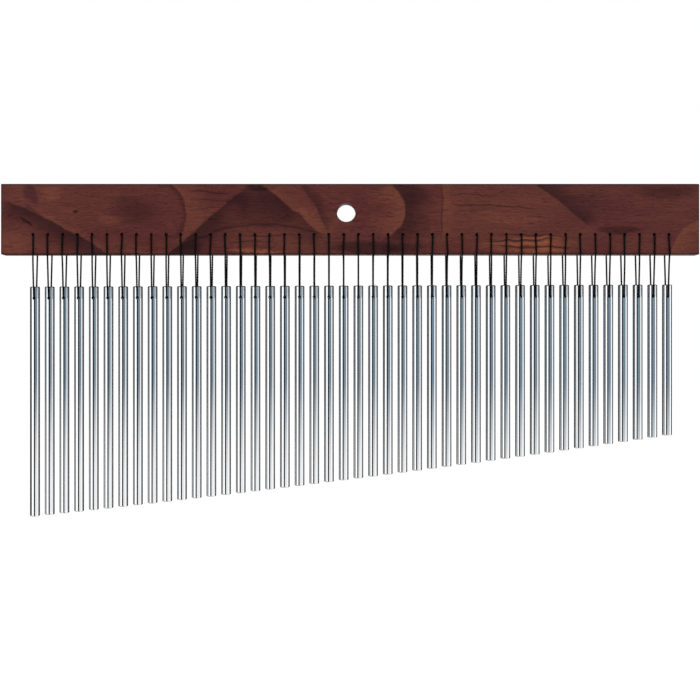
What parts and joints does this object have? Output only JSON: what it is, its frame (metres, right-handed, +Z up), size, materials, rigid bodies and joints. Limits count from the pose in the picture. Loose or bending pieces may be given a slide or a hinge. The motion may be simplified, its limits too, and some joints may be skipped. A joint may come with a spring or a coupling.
{
  "type": "bar chimes",
  "caption": "Single-row bar chimes: polished solid metal bars of falling length, each hung on a cord loop from a wooden mantle that has a round hole for a stand's post.",
  "frame": {"origin": "middle of the stand hole, on its axis and in the mantle's middle plane", "axes": "+X along the mantle towards the shortest bar, +Y from the player's side to the back, +Z up"},
  "size_m": [0.6746, 0.0238, 0.322],
  "materials": {
    "mantle_wood": "satin oiled walnut",
    "bar_aluminium": "polished",
    "cord": "matt braided nylon"
  },
  "bodies": {
    "mantle": {"mantle": "mantle_wood", "suspension_cords": "cord"},
    "chime_01": {"chime_01": "bar_aluminium"},
    "chime_02": {"chime_02": "bar_aluminium"},
    "chime_03": {"chime_03": "bar_aluminium"},
    "chime_04": {"chime_04": "bar_aluminium"},
    "chime_05": {"chime_05": "bar_aluminium"},
    "chime_06": {"chime_06": "bar_aluminium"},
    "chime_07": {"chime_07": "bar_aluminium"},
    "chime_08": {"chime_08": "bar_aluminium"},
    "chime_09": {"chime_09": "bar_aluminium"},
    "chime_10": {"chime_10": "bar_aluminium"},
    "chime_11": {"chime_11": "bar_aluminium"},
    "chime_12": {"chime_12": "bar_aluminium"},
    "chime_13": {"chime_13": "bar_aluminium"},
    "chime_14": {"chime_14": "bar_aluminium"},
    "chime_15": {"chime_15": "bar_aluminium"},
    "chime_16": {"chime_16": "bar_aluminium"},
    "chime_17": {"chime_17": "bar_aluminium"},
    "chime_18": {"chime_18": "bar_aluminium"},
    "chime_19": {"chime_19": "bar_aluminium"},
    "chime_20": {"chime_20": "bar_aluminium"},
    "chime_21": {"chime_21": "bar_aluminium"},
    "chime_22": {"chime_22": "bar_aluminium"},
    "chime_23": {"chime_23": "bar_aluminium"},
    "chime_24": {"chime_24": "bar_aluminium"},
    "chime_25": {"chime_25": "bar_aluminium"},
    "chime_26": {"chime_26": "bar_aluminium"},
    "chime_27": {"chime_27": "bar_aluminium"},
    "chime_28": {"chime_28": "bar_aluminium"},
    "chime_29": {"chime_29": "bar_aluminium"},
    "chime_30": {"chime_30": "bar_aluminium"},
    "chime_31": {"chime_31": "bar_aluminium"},
    "chime_32": {"chime_32": "bar_aluminium"},
    "chime_33": {"chime_33": "bar_aluminium"},
    "chime_34": {"chime_34": "bar_aluminium"},
    "chime_35": {"chime_35": "bar_aluminium"},
    "chime_36": {"chime_36": "bar_aluminium"},
    "chime_37": {"chime_37": "bar_aluminium"},
    "chime_38": {"chime_38": "bar_aluminium"},
    "chime_39": {"chime_39": "bar_aluminium"},
    "chime_40": {"chime_40": "bar_aluminium"},
    "chime_41": {"chime_41": "bar_aluminium"},
    "chime_42": {"chime_42": "bar_aluminium"},
    "chime_43": {"chime_43": "bar_aluminium"},
    "chime_44": {"chime_44": "bar_aluminium"}
  },
  "joints": [
    {"name": "chime_01_swing", "type": "hinge", "parent": "mantle", "child": "chime_01", "pos_m": [-0.30253, 0, -0.0406], "axis": [1, 0, 0], "range_deg": [-30, 30], "deforming": ["suspension_cords"]},
    {"name": "chime_02_swing", "type": "hinge", "parent": "mantle", "child": "chime_02", "pos_m": [-0.28824, 0, -0.0406], "axis": [1, 0, 0], "range_deg": [-30, 30], "deforming": ["suspension_cords"]},
    {"name": "chime_03_swing", "type": "hinge", "parent": "mantle", "child": "chime_03", "pos_m": [-0.27396, 0, -0.0406], "axis": [1, 0, 0], "range_deg": [-30, 30], "deforming": ["suspension_cords"]},
    {"name": "chime_04_swing", "type": "hinge", "parent": "mantle", "child": "chime_04", "pos_m": [-0.25967, 0, -0.0406], "axis": [1, 0, 0], "range_deg": [-30, 30], "deforming": ["suspension_cords"]},
    {"name": "chime_05_swing", "type": "hinge", "parent": "mantle", "child": "chime_05", "pos_m": [-0.24538, 0, -0.0406], "axis": [1, 0, 0], "range_deg": [-30, 30], "deforming": ["suspension_cords"]},
    {"name": "chime_06_swing", "type": "hinge", "parent": "mantle", "child": "chime_06", "pos_m": [-0.23109, 0, -0.0406], "axis": [1, 0, 0], "range_deg": [-30, 30], "deforming": ["suspension_cords"]},
    {"name": "chime_07_swing", "type": "hinge", "parent": "mantle", "child": "chime_07", "pos_m": [-0.21681, 0, -0.0406], "axis": [1, 0, 0], "range_deg": [-30, 30], "deforming": ["suspension_cords"]},
    {"name": "chime_08_swing", "type": "hinge", "parent": "mantle", "child": "chime_08", "pos_m": [-0.20252, 0, -0.0406], "axis": [1, 0, 0], "range_deg": [-30, 30], "deforming": ["suspension_cords"]},
    {"name": "chime_09_swing", "type": "hinge", "parent": "mantle", "child": "chime_09", "pos_m": [-0.18823, 0, -0.0406], "axis": [1, 0, 0], "range_deg": [-30, 30], "deforming": ["suspension_cords"]},
    {"name": "chime_10_swing", "type": "hinge", "parent": "mantle", "child": "chime_10", "pos_m": [-0.17394, 0, -0.0406], "axis": [1, 0, 0], "range_deg": [-30, 30], "deforming": ["suspension_cords"]},
    {"name": "chime_11_swing", "type": "hinge", "parent": "mantle", "child": "chime_11", "pos_m": [-0.15966, 0, -0.0406], "axis": [1, 0, 0], "range_deg": [-30, 30], "deforming": ["suspension_cords"]},
    {"name": "chime_12_swing", "type": "hinge", "parent": "mantle", "child": "chime_12", "pos_m": [-0.14537, 0, -0.0406], "axis": [1, 0, 0], "range_deg": [-30, 30], "deforming": ["suspension_cords"]},
    {"name": "chime_13_swing", "type": "hinge", "parent": "mantle", "child": "chime_13", "pos_m": [-0.13108, 0, -0.0406], "axis": [1, 0, 0], "range_deg": [-30, 30], "deforming": ["suspension_cords"]},
    {"name": "chime_14_swing", "type": "hinge", "parent": "mantle", "child": "chime_14", "pos_m": [-0.11679, 0, -0.0406], "axis": [1, 0, 0], "range_deg": [-30, 30], "deforming": ["suspension_cords"]},
    {"name": "chime_15_swing", "type": "hinge", "parent": "mantle", "child": "chime_15", "pos_m": [-0.10251, 0, -0.0406], "axis": [1, 0, 0], "range_deg": [-30, 30], "deforming": ["suspension_cords"]},
    {"name": "chime_16_swing", "type": "hinge", "parent": "mantle", "child": "chime_16", "pos_m": [-0.08822, 0, -0.0406], "axis": [1, 0, 0], "range_deg": [-30, 30], "deforming": ["suspension_cords"]},
    {"name": "chime_17_swing", "type": "hinge", "parent": "mantle", "child": "chime_17", "pos_m": [-0.07393, 0, -0.0406], "axis": [1, 0, 0], "range_deg": [-30, 30], "deforming": ["suspension_cords"]},
    {"name": "chime_18_swing", "type": "hinge", "parent": "mantle", "child": "chime_18", "pos_m": [-0.05964, 0, -0.0406], "axis": [1, 0, 0], "range_deg": [-30, 30], "deforming": ["suspension_cords"]},
    {"name": "chime_19_swing", "type": "hinge", "parent": "mantle", "child": "chime_19", "pos_m": [-0.04536, 0, -0.0406], "axis": [1, 0, 0], "range_deg": [-30, 30], "deforming": ["suspension_cords"]},
    {"name": "chime_20_swing", "type": "hinge", "parent": "mantle", "child": "chime_20", "pos_m": [-0.03107, 0, -0.0406], "axis": [1, 0, 0], "range_deg": [-30, 30], "deforming": ["suspension_cords"]},
    {"name": "chime_21_swing", "type": "hinge", "parent": "mantle", "child": "chime_21", "pos_m": [-0.01678, 0, -0.0406], "axis": [1, 0, 0], "range_deg": [-30, 30], "deforming": ["suspension_cords"]},
    {"name": "chime_22_swing", "type": "hinge", "parent": "mantle", "child": "chime_22", "pos_m": [-0.00249, 0, -0.0406], "axis": [1, 0, 0], "range_deg": [-30, 30], "deforming": ["suspension_cords"]},
    {"name": "chime_23_swing", "type": "hinge", "parent": "mantle", "child": "chime_23", "pos_m": [0.01179, 0, -0.0406], "axis": [1, 0, 0], "range_deg": [-30, 30], "deforming": ["suspension_cords"]},
    {"name": "chime_24_swing", "type": "hinge", "parent": "mantle", "child": "chime_24", "pos_m": [0.02608, 0, -0.0406], "axis": [1, 0, 0], "range_deg": [-30, 30], "deforming": ["suspension_cords"]},
    {"name": "chime_25_swing", "type": "hinge", "parent": "mantle", "child": "chime_25", "pos_m": [0.04037, 0, -0.0406], "axis": [1, 0, 0], "range_deg": [-30, 30], "deforming": ["suspension_cords"]},
    {"name": "chime_26_swing", "type": "hinge", "parent": "mantle", "child": "chime_26", "pos_m": [0.05466, 0, -0.0406], "axis": [1, 0, 0], "range_deg": [-30, 30], "deforming": ["suspension_cords"]},
    {"name": "chime_27_swing", "type": "hinge", "parent": "mantle", "child": "chime_27", "pos_m": [0.06894, 0, -0.0406], "axis": [1, 0, 0], "range_deg": [-30, 30], "deforming": ["suspension_cords"]},
    {"name": "chime_28_swing", "type": "hinge", "parent": "mantle", "child": "chime_28", "pos_m": [0.08323, 0, -0.0406], "axis": [1, 0, 0], "range_deg": [-30, 30], "deforming": ["suspension_cords"]},
    {"name": "chime_29_swing", "type": "hinge", "parent": "mantle", "child": "chime_29", "pos_m": [0.09752, 0, -0.0406], "axis": [1, 0, 0], "range_deg": [-30, 30], "deforming": ["suspension_cords"]},
    {"name": "chime_30_swing", "type": "hinge", "parent": "mantle", "child": "chime_30", "pos_m": [0.11181, 0, -0.0406], "axis": [1, 0, 0], "range_deg": [-30, 30], "deforming": ["suspension_cords"]},
    {"name": "chime_31_swing", "type": "hinge", "parent": "mantle", "child": "chime_31", "pos_m": [0.12609, 0, -0.0406], "axis": [1, 0, 0], "range_deg": [-30, 30], "deforming": ["suspension_cords"]},
    {"name": "chime_32_swing", "type": "hinge", "parent": "mantle", "child": "chime_32", "pos_m": [0.14038, 0, -0.0406], "axis": [1, 0, 0], "range_deg": [-30, 30], "deforming": ["suspension_cords"]},
    {"name": "chime_33_swing", "type": "hinge", "parent": "mantle", "child": "chime_33", "pos_m": [0.15467, 0, -0.0406], "axis": [1, 0, 0], "range_deg": [-30, 30], "deforming": ["suspension_cords"]},
    {"name": "chime_34_swing", "type": "hinge", "parent": "mantle", "child": "chime_34", "pos_m": [0.16896, 0, -0.0406], "axis": [1, 0, 0], "range_deg": [-30, 30], "deforming": ["suspension_cords"]},
    {"name": "chime_35_swing", "type": "hinge", "parent": "mantle", "child": "chime_35", "pos_m": [0.18324, 0, -0.0406], "axis": [1, 0, 0], "range_deg": [-30, 30], "deforming": ["suspension_cords"]},
    {"name": "chime_36_swing", "type": "hinge", "parent": "mantle", "child": "chime_36", "pos_m": [0.19753, 0, -0.0406], "axis": [1, 0, 0], "range_deg": [-30, 30], "deforming": ["suspension_cords"]},
    {"name": "chime_37_swing", "type": "hinge", "parent": "mantle", "child": "chime_37", "pos_m": [0.21182, 0, -0.0406], "axis": [1, 0, 0], "range_deg": [-30, 30], "deforming": ["suspension_cords"]},
    {"name": "chime_38_swing", "type": "hinge", "parent": "mantle", "child": "chime_38", "pos_m": [0.22611, 0, -0.0406], "axis": [1, 0, 0], "range_deg": [-30, 30], "deforming": ["suspension_cords"]},
    {"name": "chime_39_swing", "type": "hinge", "parent": "mantle", "child": "chime_39", "pos_m": [0.24039, 0, -0.0406], "axis": [1, 0, 0], "range_deg": [-30, 30], "deforming": ["suspension_cords"]},
    {"name": "chime_40_swing", "type": "hinge", "parent": "mantle", "child": "chime_40", "pos_m": [0.25468, 0, -0.0406], "axis": [1, 0, 0], "range_deg": [-30, 30], "deforming": ["suspension_cords"]},
    {"name": "chime_41_swing", "type": "hinge", "parent": "mantle", "child": "chime_41", "pos_m": [0.26897, 0, -0.0406], "axis": [1, 0, 0], "range_deg": [-30, 30], "deforming": ["suspension_cords"]},
    {"name": "chime_42_swing", "type": "hinge", "parent": "mantle", "child": "chime_42", "pos_m": [0.28326, 0, -0.0406], "axis": [1, 0, 0], "range_deg": [-30, 30], "deforming": ["suspension_cords"]},
    {"name": "chime_43_swing", "type": "hinge", "parent": "mantle", "child": "chime_43", "pos_m": [0.29754, 0, -0.0406], "axis": [1, 0, 0], "range_deg": [-30, 30], "deforming": ["suspension_cords"]},
    {"name": "chime_44_swing", "type": "hinge", "parent": "mantle", "child": "chime_44", "pos_m": [0.31183, 0, -0.0406], "axis": [1, 0, 0], "range_deg": [-30, 30], "deforming": ["suspension_cords"]}
  ]
}
